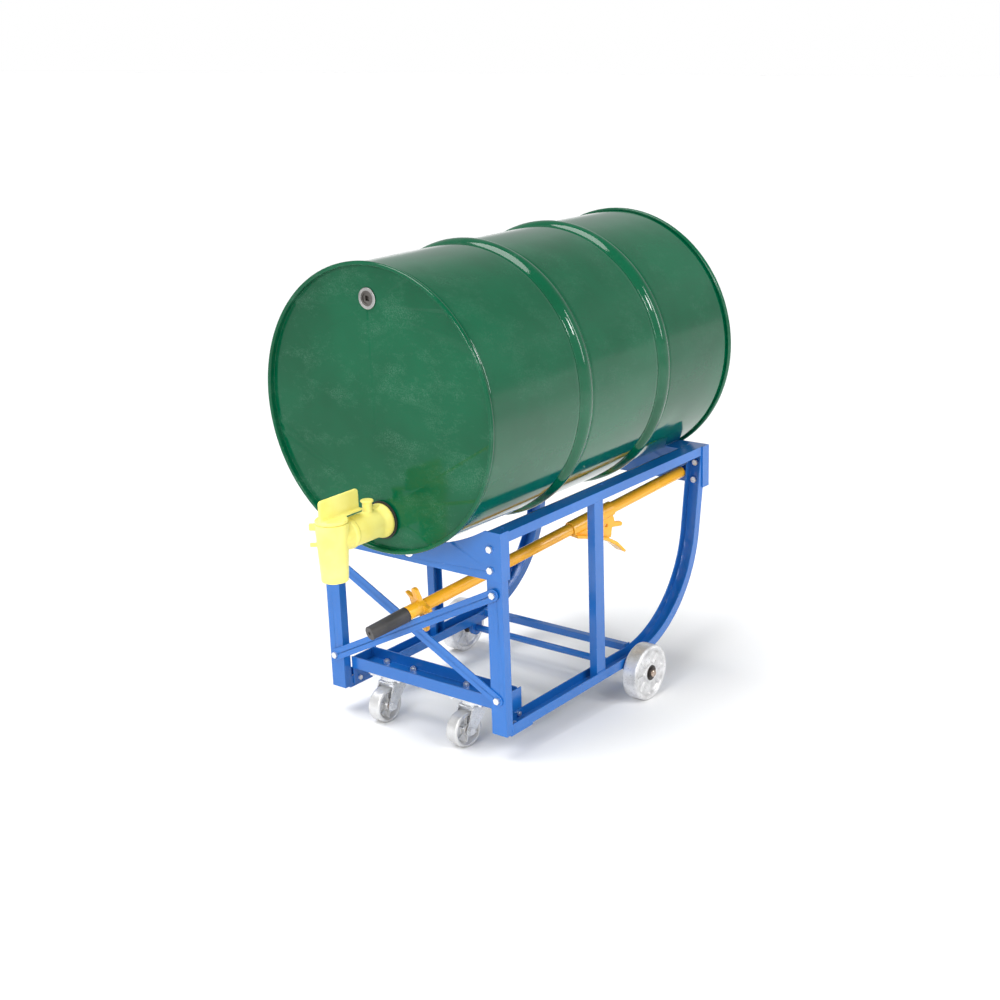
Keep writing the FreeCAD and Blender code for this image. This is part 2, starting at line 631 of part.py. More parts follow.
def faucet_body():
    """Barrel from the bung to an upright tapered spout, with a flange, a lug and two ears."""
    seat = HEAD_DEPTH - 6.0
    height = SPOUT_TOP - SPOUT_BOTTOM
    spout = Part.makeCone(SPOUT_RADII[1], SPOUT_RADII[0], height, V(0, SPOUT_Y, SPOUT_BOTTOM), Z_AXIS)
    barrel = rod(V(0, SPOUT_Y, BARREL_Z), Y_AXIS, seat - SPOUT_Y, BARREL_RADIUS)
    flare = [(0, 0), (29, 0), (31, 10), (34, 18), (35.5, 22), (35.5, 26), (34.5, 28), (0, 28)]
    flange = turned(flare, V(0, seat - 28.0, BARREL_Z), Y_AXIS)
    neck = rod(bung_at(seat), Y_AXIS, 18.0, 28.2)
    collar = rod(V(0, SPOUT_Y + 38, BARREL_Z), Y_AXIS, 9.0, BARREL_RADIUS + 1.5)
    lug_top = BARREL_Z + BARREL_RADIUS + 23
    stem = rod(V(0, -34, BARREL_Z + 22), Z_AXIS, lug_top - BARREL_Z - 22, 10.0)
    cap_profile = [(0, 0), (13, 0), (13.5, 0.8), (13.5, 3), (12.5, 4), (0, 4)]
    cap = turned(cap_profile, V(0, -34, lug_top - 4), Z_AXIS)
    ridge = block((-5, 5), (-34, seat - 10), (BARREL_Z + 22, BARREL_Z + BARREL_RADIUS + 7))
    solid = joined([spout, barrel, flange, neck, collar, stem, cap, ridge])
    for z, size in ((SPOUT_TOP - 8, 14.0), (SPOUT_TOP - 44, 8.0)):
        ear = block((25.0, 44.0), (-3.0, 3.0), (z - size / 2, z + size / 2))
        ear.rotate(V(0, 0, 0), Z_AXIS, 217.0)
        ear.translate(V(0, SPOUT_Y, 0))
        solid = solid.fuse(ear)
    bore = rod(V(0, SPOUT_Y, SPOUT_BOTTOM - 1), Z_AXIS, height + 2, SPOUT_BORE)
    chamber = rod(V(0, SPOUT_Y, CHAMBER_Z), Z_AXIS, SPOUT_TOP + 1 - CHAMBER_Z, CHAMBER_BORE)
    passage = rod(V(0, SPOUT_Y, BARREL_Z), Y_AXIS, 200.0, 21.0)
    return solid.cut(bore).cut(chamber).cut(passage).removeSplitter()


def faucet_spool():
    """Valve drum inside the spout, with a window that faces the barrel when open."""
    radius = CHAMBER_BORE - RUNNING
    base = V(0, SPOUT_Y, CHAMBER_Z + 4.0)
    crown = 8.0
    hollow = rod(base, Z_AXIS, SPOUT_TOP - base.z - crown, radius - 4.0)
    drum = rod(base, Z_AXIS, SPOUT_TOP - base.z, radius).cut(hollow)
    return drum.cut(rod(V(0, SPOUT_Y, BARREL_Z), Y_AXIS, 40.0, 15.0))


def faucet_handle():
    """Flat cap on the spout's top with an upright paddle, rounded at its corners."""
    z = (SPOUT_TOP, SPOUT_TOP + 8.0)
    cap = turned([(0, 0.4), (31, 0.4), (32.5, 2), (32.5, 6), (30, 8), (0, 8)], V(0, SPOUT_Y, z[0]), Z_AXIS)
    paddle = block((-3.0, 3.0), (-168.0, -60.0), (z[1] - 1.0, z[1] + 42.0))
    corners = [e for e in paddle.Edges if abs(e.tangentAt(e.FirstParameter).x) > 0.9 and e.CenterOfMass.z > z[1]]
    paddle = paddle.makeFillet(7.0, corners)
    plug = rod(V(0, SPOUT_Y, SPOUT_TOP), Z_AXIS, 3.0, 10.0)
    rib = block((-13.0, 13.0), (SPOUT_Y - 28.0, SPOUT_Y + 76.0), (z[1] - 1.0, z[1] + 3.5))
    return joined([cap, paddle, rib, plug])


# ---------------------------------------------------------------- assembly

def drilled(parts, bolts, nodes):
    for bolt in bolts:
        for node in nodes:
            parts[node] = parts[node].cut(bolt.hole())


def all_parts():
    parts = {}
    for name, make in (("front_post", front_post), ("mid_post", mid_post), ("top_rail", top_rail),
                       ("rocker", rocker), ("foot_pad", foot_pad), ("crossmember_bracket", crossmember_bracket),
                       ("axle_bracket", axle_bracket), ("rear_wheel", rear_wheel), ("rear_bearing", rear_bearing)):
        parts[name + "_right"] = make()
        parts[name + "_left"] = mirrored(make())
    for name, make in (("caster_plate", caster_plate), ("caster_fork", caster_fork), ("kingpin", kingpin),
                       ("caster_axle", caster_axle), ("caster_wheel", caster_wheel),
                       ("caster_bushing", caster_bushing)):
        parts[name + "_right"] = placed_caster(make(), 1)
        parts[name + "_left"] = placed_caster(make(), -1)
    # the top plates are bolted square to the frame, whichever way the forks point
    square = caster_plate()
    square.translate(V(CASTER.x, CASTER.y, 0))
    parts["caster_plate_right"] = square
    parts["brace_bar_rising"] = brace_bar(-BRACE_LOW[0], POST_FRONT - 2 * BAR[1])
    parts["brace_bar_falling"] = brace_bar(BRACE_LOW[0], POST_FRONT - BAR[1])
    for make in (front_saddle, rear_saddle, caster_crossmember, rear_cross_bar, axle, lever_peg, lever_tube,
                 lever_grip, bung_wrench, chime_hook, drum_shell, drum_head_front, bung_flange, vent_flange,
                 vent_plug, faucet_gasket, faucet_body, faucet_spool, faucet_handle):
        parts[make.__name__] = make()
    parts["drum_head_rear"] = drum_head(DRUM_LENGTH, V(0, -1, 0))

    posts = ["front_post_right", "front_post_left"]
    drilled(parts, front_saddle_bolts(), posts + ["front_saddle"])
    drilled(parts, rear_saddle_bolts(), ["rocker_right", "rocker_left", "rear_saddle"])
    drilled(parts, brace_bolts(), posts + ["brace_bar_rising", "brace_bar_falling"])
    drilled(parts, caster_bolts(), ["caster_crossmember", "caster_plate_right", "caster_plate_left"])
    drilled(parts, foot_bolts(), ["foot_pad_right", "foot_pad_left", "rocker_right", "rocker_left"])
    drilled(parts, bracket_bolts(), ["crossmember_bracket_right", "crossmember_bracket_left", "rocker_right",
                                     "rocker_left"])
    groups = {"saddle_bolts": front_saddle_bolts() + rear_saddle_bolts(), "brace_bolts": brace_bolts(),
              "caster_bolts": caster_bolts(), "rail_bolts": foot_bolts() + bracket_bolts()}
    for name, bolts in groups.items():
        parts[name] = Part.makeCompound([solid for bolt in bolts for solid in bolt.solids()])
    parts["bolt_spacers"] = Part.makeCompound(rear_spacers() + brace_washers())
    parts["axle_clips"] = Part.makeCompound(axle_clips())
    return parts


def stand_on_wheels(parts):
    """Leans the level layout until all four wheels touch one floor, then puts the origin under its middle."""
    front_y = CASTER.y - CASTER_TRAIL
    run = REAR_Y - front_y
    rise = CASTER_AXLE_Z - REAR_RADIUS
    lean = math.degrees(math.atan2(rise, run) - math.asin((CASTER_WHEEL[0] - REAR_RADIUS) / math.hypot(run, rise)))
    for shape in parts.values():
        shape.rotate(V(0, 0, 0), X_AXIS, lean)
    box = FreeCAD.BoundBox()
    for shape in parts.values():
        box.add(shape.optimalBoundingBox(False, False))
    shift = V(-(box.XMin + box.XMax) / 2, -(box.YMin + box.YMax) / 2, -box.ZMin)
    for shape in parts.values():
        shape.translate(shift)
    print("lean", round(lean, 5), "shift", [round(value, 4) for value in shift])


def main():
    os.makedirs("parts", exist_ok=True)
    parts = all_parts()
    stand_on_wheels(parts)
    for name, shape in parts.items():
        shape.exportStep("parts/" + name + ".step")
    print(len(parts), "nodes")


main()
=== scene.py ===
import json
import math
import random

import bmesh
import bpy
from mathutils import Matrix, Vector


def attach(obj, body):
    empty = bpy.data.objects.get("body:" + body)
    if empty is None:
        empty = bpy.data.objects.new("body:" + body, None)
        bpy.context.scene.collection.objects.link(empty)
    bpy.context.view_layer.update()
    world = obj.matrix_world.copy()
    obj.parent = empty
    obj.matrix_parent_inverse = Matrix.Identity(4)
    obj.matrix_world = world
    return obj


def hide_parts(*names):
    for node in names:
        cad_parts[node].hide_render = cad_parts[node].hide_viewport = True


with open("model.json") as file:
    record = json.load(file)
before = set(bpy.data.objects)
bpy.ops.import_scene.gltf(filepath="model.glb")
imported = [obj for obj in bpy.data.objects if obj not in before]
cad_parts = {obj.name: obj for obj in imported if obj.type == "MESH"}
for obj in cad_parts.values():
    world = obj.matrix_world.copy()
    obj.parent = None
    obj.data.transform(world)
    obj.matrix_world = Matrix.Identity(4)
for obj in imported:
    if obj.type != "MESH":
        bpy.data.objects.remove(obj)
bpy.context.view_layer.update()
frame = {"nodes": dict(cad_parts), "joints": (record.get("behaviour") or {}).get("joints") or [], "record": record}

# The CAD model is laid out level and then leans nose-down on its wheels. The swivel axis gives the lean, and
# the rear axle's place in both layouts gives the shift, so a level point in millimetres goes to its place in
# the frame.
MM = 0.001
LEVEL_REAR_HUB = Vector((263.0, 555.0, 63.5)) * MM
JOINTS = {joint["name"]: joint for joint in frame["joints"]}
SWIVEL_AXIS = JOINTS["caster_swivel_left"]["axis"]
LEAN = Matrix.Rotation(-math.atan2(SWIVEL_AXIS[1], SWIVEL_AXIS[2]), 3, "X")
SHIFT = Vector(JOINTS["rear_roll_right"]["pos_m"]) - LEAN @ LEVEL_REAR_HUB


def place(x, y, z):
    """Frame position of a level point given in millimetres."""
    return LEAN @ (Vector((x, y, z)) * MM) + SHIFT


# ---------------------------------------------------------------- camera, light, floor

CAMERA_POINT = (2097.3, -2252.3, 1513.5)    # level millimetres
CAMERA_YAW, CAMERA_PITCH, CAMERA_ROLL = 37.21, 17.52, -1.6
CAMERA_LENS = 58.15
CAMERA_SENSOR = 36.0
CAMERA_SHIFT = (-0.0343, 0.0065)
SKY_BOTTOM = -0.1    # the sky's shades run from 0 at this height on a unit sphere to 1 overhead
WHITE_UP_TO = 0.136
SKY_SHADES = ((0.19, 0.66), (0.26, 0.56), (0.48, 0.60), (0.70, 0.36))    # place along the shades, and grey
OVERHEAD = (0.22, 0.23, 0.24, 1)
FLOOR_REACH = 300.0    # metres
FLOOR_GREY = (0.93, 0.93, 0.93, 1)


def make_camera():
    yaw, pitch, roll = (math.radians(turn) for turn in (CAMERA_YAW, CAMERA_PITCH, CAMERA_ROLL))
    forward = Vector((-math.sin(yaw) * math.cos(pitch), math.cos(yaw) * math.cos(pitch), -math.sin(pitch)))
    right = Vector((math.cos(yaw), math.sin(yaw), 0))
    up = right.cross(forward)
    rolled_right = right * math.cos(roll) + up * math.sin(roll)
    rolled_up = up * math.cos(roll) - right * math.sin(roll)
    axes = [LEAN @ rolled_right, LEAN @ rolled_up, LEAN @ -forward]
    data = bpy.data.cameras.new("camera")
    data.sensor_width = CAMERA_SENSOR
    data.lens = CAMERA_LENS
    data.shift_x, data.shift_y = CAMERA_SHIFT
    camera = bpy.data.objects.new("camera", data)
    camera.matrix_world = Matrix.Translation(place(*CAMERA_POINT)) @ Matrix(axes).transposed().to_4x4()
    bpy.context.scene.collection.objects.link(camera)
    bpy.context.scene.camera = camera


def aim(light, direction):
    light.rotation_mode = "QUATERNION"
    light.rotation_quaternion = Vector(direction).to_track_quat("-Z", "Y")
    bpy.context.scene.collection.objects.link(light)


def area_light(name, location, target, size, power):
    data = bpy.data.lights.new(name, "AREA")
    data.shape = "RECTANGLE"
    data.size, data.size_y = size
    data.energy = power
    light = bpy.data.objects.new(name, data)
    light.location = location
    aim(light, Vector(target) - Vector(location))


def sun_light(name, direction, strength, angle):
    """Even light from far off, softened as by a large sheet of diffusion."""
    data = bpy.data.lights.new(name, "SUN")
    data.energy = strength
    data.angle = math.radians(angle)
    aim(bpy.data.objects.new(name, data), direction)


def make_world():
    """White at the horizon and below it, pale grey above, and a darker grey overhead."""
    world = bpy.data.worlds.new("studio")
    world.use_nodes = True
    nodes, links = world.node_tree.nodes, world.node_tree.links
    coords = nodes.new("ShaderNodeTexCoord")
    split = nodes.new("ShaderNodeSeparateXYZ")
    ramp = nodes.new("ShaderNodeValToRGB")
    links.new(coords.outputs["Generated"], split.inputs[0])
    links.new(remap(nodes, links, split.outputs["Z"], SKY_BOTTOM, 1.0), ramp.inputs[0])
    links.new(ramp.outputs["Color"], nodes["Background"].inputs["Color"])
    stops = ramp.color_ramp.elements
    stops[0].position, stops[0].color = WHITE_UP_TO, (1, 1, 1, 1)
    stops[1].position, stops[1].color = 1.0, OVERHEAD
    for position, level in SKY_SHADES:
        stops.new(position).color = (level, level, level * 1.02, 1)
    bpy.context.scene.world = world


def make_floor():
    data = bpy.data.meshes.new("floor")
    corners = [(-1, -1), (1, -1), (1, 1), (-1, 1)]
    data.from_pydata([(x * FLOOR_REACH, y * FLOOR_REACH, 0) for x, y in corners], [], [(0, 1, 2, 3)])
    floor = bpy.data.objects.new("floor", data)
    bpy.context.scene.collection.objects.link(floor)
    material, _, _, shader = new_material("floor_pale")
    shader.inputs["Base Color"].default_value = FLOOR_GREY
    shader.inputs["Roughness"].default_value = 0.9
    data.materials.append(material)


# ---------------------------------------------------------------- materials

FRAME_BLUES = (0.012, 0.150, 0.52), (0.007, 0.124, 0.45), (0.33, 0.46, 0.62)    # main, deep, worn
FRAME_GLOSS = 0.15
LEVER_ORANGES = (1.0, 0.50, 0.024), (1.0, 0.44, 0.016), (0.66, 0.38, 0.14)
DRUM_GREEN = (0.0, 0.098, 0.041)
DRUM_DEEP_GREEN = (0.0, 0.072, 0.029)
CHIPPED_GREEN = (0.20, 0.33, 0.26)
AXLE_PAINTED_HALF = 0.2445    # metres
CORNER_REACH = 0.0016    # how far from an edge paint can be chipped, in metres


def new_material(name):
    material = bpy.data.materials.new(name)
    material.use_nodes = True
    nodes, links = material.node_tree.nodes, material.node_tree.links
    return material, nodes, links, nodes["Principled BSDF"]


def noise(nodes, links, scale, detail=4.0, roughness=0.55, stretch=None):
    """Noise in the piece's own coordinates, in cycles per metre; stretch squeezes it along each axis."""
    coords = nodes.new("ShaderNodeTexCoord")
    texture = nodes.new("ShaderNodeTexNoise")
    texture.inputs["Scale"].default_value = scale
    texture.inputs["Detail"].default_value = detail
    texture.inputs["Roughness"].default_value = roughness
    source = coords.outputs["Object"]
    if stretch:
        mapping = nodes.new("ShaderNodeMapping")
        mapping.inputs["Scale"].default_value = stretch
        links.new(source, mapping.inputs["Vector"])
        source = mapping.outputs["Vector"]
    links.new(source, texture.inputs["Vector"])
    return texture.outputs["Fac"]


def remap(nodes, links, value, low, high, out_low=0.0, out_high=1.0):
    node = nodes.new("ShaderNodeMapRange")
    node.inputs["From Min"].default_value = low
    node.inputs["From Max"].default_value = high
    node.inputs["To Min"].default_value = out_low
    node.inputs["To Max"].default_value = out_high
    links.new(value, node.inputs["Value"])
    return node.outputs["Result"]


def mix(nodes, links, factor, a, b):
    """Colour mix; a and b are sockets or plain colours."""
    node = nodes.new("ShaderNodeMix")
    node.data_type = "RGBA"
    links.new(factor, node.inputs["Factor"])
    for name, value in (("A", a), ("B", b)):
        socket = next(s for s in node.inputs if s.name == name and s.type == "RGBA")
        if isinstance(value, tuple):
            socket.default_value = (*value, 1)
        else:
            links.new(value, socket)
    return next(s for s in node.outputs if s.type == "RGBA")


def product(nodes, links, a, b):
    node = nodes.new("ShaderNodeMath")
    node.operation = "MULTIPLY"
    links.new(a, node.inputs[0])
    links.new(b, node.inputs[1])
    return node.outputs[0]


def edge_mask(nodes, links):
    """1 near convex or concave edges: where a rounded normal leaves the true one."""
    bevel = nodes.new("ShaderNodeBevel")
    bevel.inputs["Radius"].default_value = CORNER_REACH
    bevel.samples = 4
    geometry = nodes.new("ShaderNodeNewGeometry")
    dot = nodes.new("ShaderNodeVectorMath")
    dot.operation = "DOT_PRODUCT"
    links.new(bevel.outputs["Normal"], dot.inputs[0])
    links.new(geometry.outputs["Normal"], dot.inputs[1])
    return remap(nodes, links, dot.outputs["Value"], 0.98, 0.80)


def bump(nodes, links, shader, height, distance, under=None):
    """Bump on the shader's normal; under is a coarser bump's normal that it rides on."""
    node = nodes.new("ShaderNodeBump")
    node.inputs["Distance"].default_value = distance
    links.new(height, node.inputs["Height"])
    if under:
        links.new(under, node.inputs["Normal"])
    links.new(node.outputs["Normal"], shader.inputs["Normal"])
    return node.outputs["Normal"]


def paint(name, colour, deep, worn, gloss, peel=700.0, peel_depth=0.00012):
    """Sprayed or powder-coated paint: shade drift, orange peel, dull patches, and chips along edges."""
    material, nodes, links, shader = new_material(name)
    base = mix(nodes, links, remap(nodes, links, noise(nodes, links, 5.0, 3.0), 0.35, 0.65), deep, colour)
    chips = remap(nodes, links, noise(nodes, links, 160.0, 6.0, 0.7), 0.55, 0.68, 0.0, 0.5)
    mask = product(nodes, links, edge_mask(nodes, links), chips)
    links.new(mix(nodes, links, mask, base, worn), shader.inputs["Base Color"])
    dull = remap(nodes, links, noise(nodes, links, 22.0, 5.0, 0.6), 0.3, 0.7, gloss, gloss + 0.10)
    links.new(dull, shader.inputs["Roughness"])
    shader.inputs["Coat Weight"].default_value = 0.3
    shader.inputs["Coat Roughness"].default_value = 0.07
    bump(nodes, links, shader, noise(nodes, links, peel, 2.0), peel_depth)
    return material


def enamel(name, dusty, gloss, dust_amount, waves, specular):
    """Glossy drum enamel: wavy sheet, orange peel, dusty rubbed patches, hair scratches, chipped edges."""
    material, nodes, links, shader = new_material(name)
    drift = remap(nodes, links, noise(nodes, links, 4.0, 3.0), 0.35, 0.65)
    base = mix(nodes, links, drift, DRUM_DEEP_GREEN, DRUM_GREEN)
    patches = remap(nodes, links, noise(nodes, links, 9.0, 9.0, 0.74, (1.0, 1.0, 1.7)), 0.50, 0.64)
    grain = remap(nodes, links, noise(nodes, links, 420.0, 2.0, 0.8), 0.46, 0.58, 0.1, 1.0)
    dust = product(nodes, links, patches, grain)
    base = mix(nodes, links, remap(nodes, links, dust, 0.0, 1.0, 0.0, dust_amount), base, dusty)
    hairs = remap(nodes, links, noise(nodes, links, 3.0, 3.0, 0.7, (9.0, 9.0, 140.0)), 0.69, 0.72, 0.0, 0.35)
    base = mix(nodes, links, product(nodes, links, hairs, patches), base, dusty)
    chips = remap(nodes, links, noise(nodes, links, 150.0, 6.0, 0.7), 0.57, 0.68, 0.0, 0.8)
    chipped = product(nodes, links, edge_mask(nodes, links), chips)
    links.new(mix(nodes, links, chipped, base, CHIPPED_GREEN), shader.inputs["Base Color"])
    links.new(remap(nodes, links, dust, 0.0, 1.0, gloss, gloss + 0.16), shader.inputs["Roughness"])
    shader.inputs["Specular IOR Level"].default_value = specular
    coarse = bump(nodes, links, shader, noise(nodes, links, 3.2, 2.0), waves)
    bump(nodes, links, shader, noise(nodes, links, 240.0, 2.0), 0.00009, coarse)
    return material


def metal(name, colour, stain, roughness, grain=400.0, depth=0.0001, metallic=1.0):
    """Bare or plated metal: stained in patches, with fine grain in its shine."""
    material, nodes, links, shader = new_material(name)
    patches = remap(nodes, links, noise(nodes, links, 35.0, 6.0, 0.65), 0.42, 0.72, 0.0, 0.8)
    links.new(mix(nodes, links, patches, colour, stain), shader.inputs["Base Color"])
    shader.inputs["Metallic"].default_value = metallic
    grain_value = noise(nodes, links, grain, 4.0, 0.6)
    links.new(remap(nodes, links, grain_value, 0.3, 0.7, roughness - 0.09, roughness + 0.13),
              shader.inputs["Roughness"])
    bump(nodes, links, shader, grain_value, depth)
    return material


def moulded(name, colour, shade, roughness, grain, depth, translucency=0.0):
    """Moulded plastic or rubber: soft shade drift and a fine surface grain."""
    material, nodes, links, shader = new_material(name)
    drift = remap(nodes, links, noise(nodes, links, 14.0), 0.35, 0.65)
    links.new(mix(nodes, links, drift, shade, colour), shader.inputs["Base Color"])
    links.new(remap(nodes, links, noise(nodes, links, 60.0), 0.3, 0.7, roughness - 0.07, roughness + 0.1),
              shader.inputs["Roughness"])
    shader.inputs["Subsurface Weight"].default_value = translucency
    shader.inputs["Subsurface Radius"].default_value = (0.006, 0.005, 0.002)
    bump(nodes, links, shader, noise(nodes, links, grain, 3.0), depth)
    return material


def bare_ended_paint(name, half):
    """The frame's paint on a bar across the frame, bare past half its painted length each way."""
    material = paint(name, *FRAME_BLUES, FRAME_GLOSS)
    nodes, links = material.node_tree.nodes, material.node_tree.links
    shader = nodes["Principled BSDF"]
    coords = nodes.new("ShaderNodeTexCoord")
    split = nodes.new("ShaderNodeSeparateXYZ")
    links.new(coords.outputs["Object"], split.inputs[0])
    reach = nodes.new("ShaderNodeMath")
    reach.operation = "ABSOLUTE"
    links.new(split.outputs["X"], reach.inputs[0])
    bare = remap(nodes, links, reach.outputs[0], half, half + 0.0005)
    painted = shader.inputs["Base Color"].links[0].from_socket
    stain = remap(nodes, links, noise(nodes, links, 160.0), 0.4, 0.65)
    steel = mix(nodes, links, stain, (0.60, 0.47, 0.38), (0.40, 0.31, 0.25))
    links.new(mix(nodes, links, bare, painted, steel), shader.inputs["Base Color"])
    links.new(bare, shader.inputs["Metallic"])
    return material


def make_materials():
    return {
        "frame_paint": paint("blue_powder_coat", *FRAME_BLUES, FRAME_GLOSS),
        "axle_paint": bare_ended_paint("axle_paint", AXLE_PAINTED_HALF),
        "lever_paint": paint("orange_powder_coat", *LEVER_ORANGES, 0.20, peel=420.0, peel_depth=0.0002),
        "drum_paint": enamel("green_enamel", (0.09, 0.22, 0.15), gloss=0.05, dust_amount=0.16, waves=0.0020,
                             specular=0.50),
        "head_enamel": enamel("green_enamel_head", (0.10, 0.24, 0.16), gloss=0.10, dust_amount=0.30,
                              waves=0.0008, specular=0.24),
        "zinc": metal("bright_zinc", (0.78, 0.79, 0.81), (0.58, 0.59, 0.59), 0.30, metallic=0.85),
        "plug_steel": metal("black_plug_steel", (0.16, 0.15, 0.14), (0.07, 0.065, 0.06), 0.36),
        "ring_steel": metal("worn_ring_steel", (0.42, 0.42, 0.41), (0.16, 0.155, 0.15), 0.34, grain=600.0),
        "yellow_zinc": metal("yellow_zinc", (0.80, 0.72, 0.46), (0.66, 0.62, 0.50), 0.30),
        "caster_steel": metal("turned_steel", (0.70, 0.70, 0.695), (0.47, 0.465, 0.46), 0.36, grain=500.0,
                              depth=0.0002, metallic=0.6),
        "cast_wheel": metal("cast_alloy", (0.83, 0.83, 0.835), (0.44, 0.435, 0.43), 0.34, grain=320.0,
                            depth=0.0005, metallic=0.55),
        "dark_steel": metal("oiled_steel", (0.10, 0.09, 0.085), (0.045, 0.04, 0.038), 0.38),
        "bronze": metal("oiled_bronze", (0.52, 0.34, 0.18), (0.30, 0.20, 0.12), 0.34),
        "grip_rubber": moulded("grip_rubber", (0.072, 0.067, 0.067), (0.036, 0.034, 0.034), 0.46,
                               grain=1500.0, depth=0.00015),
        "gasket_rubber": moulded("gasket_rubber", (0.02, 0.02, 0.02), (0.012, 0.012, 0.012), 0.5,
                                 grain=900.0, depth=0.0001),
        "faucet_plastic": moulded("yellow_polyethylene", (0.91, 0.83, 0.25), (0.88, 0.76, 0.17), 0.40,
                                  grain=500.0, depth=0.0001, translucency=0.12),
    }


# ---------------------------------------------------------------- CAD nodes

LOOKS = {"drum_head_front": "head_enamel", "drum_head_rear": "head_enamel", "vent_plug": "plug_steel",
         "axle": "axle_paint", "vent_flange": "ring_steel"}    # nodes that look otherwise than their slot
CAST = {"faucet_body": 0.0012, "faucet_handle": 0.0011, "bung_wrench": 0.0010, "chime_hook": 0.0011,
        "rear_wheel_right": 0.0014, "rear_wheel_left": 0.0014, "caster_wheel_right": 0.0011,
        "caster_wheel_left": 0.0011}    # castings and mouldings, with the grid that rounds them, in metres
WELD_DISTANCE = 1e-5    # closes the split edges of an imported mesh
SHEET_EDGE = 0.0006


def dress_cad_nodes(materials):
    slots = {entry["node"]: entry["material_slot"] for entry in frame["record"]["subparts"]}
    for node, obj in frame["nodes"].items():
        for slot in obj.material_slots:
            slot.material = materials[LOOKS.get(node, slots[node])]
        obj.modifiers.new("weld", "WELD").merge_threshold = WELD_DISTANCE
        if node in CAST:
            round_over(obj, CAST[node])
        else:
            soften(obj, SHEET_EDGE)


def round_over(obj, voxel):
    """Melts the corners of a casting or moulding together, as its mould leaves them."""
    remesh = obj.modifiers.new("remesh", "REMESH")
    remesh.mode = "VOXEL"
    remesh.voxel_size = voxel
    remesh.use_smooth_shade = True
    smooth = obj.modifiers.new("smooth", "SMOOTH")
    smooth.factor = 0.5
    smooth.iterations = 5


def soften(obj, width):
    """Rounds the sharp edges."""
    bevel = obj.modifiers.new("bevel", "BEVEL")
    bevel.width = width
    bevel.segments = 2
    bevel.limit_method = "ANGLE"
    bevel.angle_limit = math.radians(35)
    bevel.harden_normals = True
    bevel.miter_outer = "MITER_ARC"


# ---------------------------------------------------------------- pieces

RNG = random.Random(7)
DRUM_Z = 751.0
DRUM_RADIUS = 287.0
DRUM_LENGTH = 878.0
DRUM_STEPS = 224
SHEET = 1.5
SHEET_ENDS = (10, 868)
HOOPS = (317.0, 605.0)
HOOP_RISE, HOOP_HALF = 9.0, 19.0
GROOVE_DEPTH, GROOVE_WIDTH = 1.1, 0.35    # the shallow groove beside a hoop; its width in HOOP_HALF
RIM_CENTRE = (288.7, 5.3)    # radius and depth from the drum's end
RIM_HALF = (3.75, 5.2)
RIM_SQUARENESS = 0.7
# Shallow knocks in the body sheet: degrees from the top, distance from the front rim, radius and depth.
DENTS = ((-52, 720, 34, 2.2), (-40, 770, 26, 1.6), (-68, 672, 22, 1.2), (-44, 240, 40, 1.0),
         (-20, 470, 46, 0.9), (35, 560, 42, 1.2), (120, 700, 38, 1.4), (-108, 470, 30, 1.3),
         (170, 200, 40, 1.0))


def add_piece(name, points, faces, body, slot, materials, replaces=()):
    """Mesh piece from level millimetre points, smooth-shaded, riding on a body."""
    data = bpy.data.meshes.new(name)
    data.from_pydata([place(*point) for point in points], [], faces)
    data.validate()
    work = bmesh.new()
    work.from_mesh(data)
    bmesh.ops.recalc_face_normals(work, faces=work.faces)
    work.to_mesh(data)
    work.free()
    data.shade_smooth()
    data.materials.append(materials[slot])
    piece = bpy.data.objects.new(name, data)
    bpy.context.scene.collection.objects.link(piece)
    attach(piece, body)
    if replaces:
        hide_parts(*replaces)


def drum_ring(profile, end, direction, warp=None):
    """Points and quads of a closed outline of (radius, along) turned about the drum's axis from one end."""
    axis, up = Vector((0, direction, 0)), Vector((0, 0, 1))
    other = axis.cross(up)
    points, faces, count = [], [], len(profile)
    for k in range(DRUM_STEPS):
        angle = 2 * math.pi * k / DRUM_STEPS
        out = up * math.cos(angle) + other * math.sin(angle)
        for radius, along in profile:
            offset = warp(angle, along) if warp else 0.0
            points.append(tuple(Vector((0, end, DRUM_Z)) + axis * along + out * (radius + offset)))
        row, after = k * count, (k + 1) % DRUM_STEPS * count
        for i in range(count):
            j = (i + 1) % count
            faces.append((row + i, row + j, after + j, after + i))
    return points, faces


def dented(angle, along):
    """How far the dents move the sheet out, at an angle round the drum and a distance along it."""
    total = 0.0
    for degrees, y, size, depth in DENTS:
        across = math.remainder(angle - math.radians(degrees), 2 * math.pi) * DRUM_RADIUS
        reach = (across ** 2 + (along - y) ** 2) / size ** 2
        if reach < 9:
            total -= depth * math.exp(-reach)
    return total


def sheet_radius(along):
    rise = 0.0
    for hoop in HOOPS:
        u = abs((along - hoop) / HOOP_HALF)
        if u < 1:
            rise = HOOP_RISE * (1 - u * u) ** 0.9
        elif u < 1 + GROOVE_WIDTH:
            rise = -GROOVE_DEPTH * math.sin(math.pi * (u - 1) / GROOVE_WIDTH)
    return DRUM_RADIUS + rise


def drum_profile():
    """Closed outline of the body sheet: outside with two hoops, and the inside a sheet's thickness below."""
    stations = set(range(SHEET_ENDS[0], SHEET_ENDS[1] + 1, 13)) | {SHEET_ENDS[1]}
    for hoop in HOOPS:
        stations |= {hoop + HOOP_HALF * k / 10 for k in range(-14, 15)}
    ordered = sorted(stations)
    outside = [(sheet_radius(along), along) for along in ordered]
    inside = [(sheet_radius(along) - SHEET, along) for along in reversed(ordered)]
    return outside + inside


def squared(value):
    """A cosine or sine, moved towards 1 or -1 so that its circle turns into a rounded square."""
    return math.copysign(abs(value) ** RIM_SQUARENESS, value)


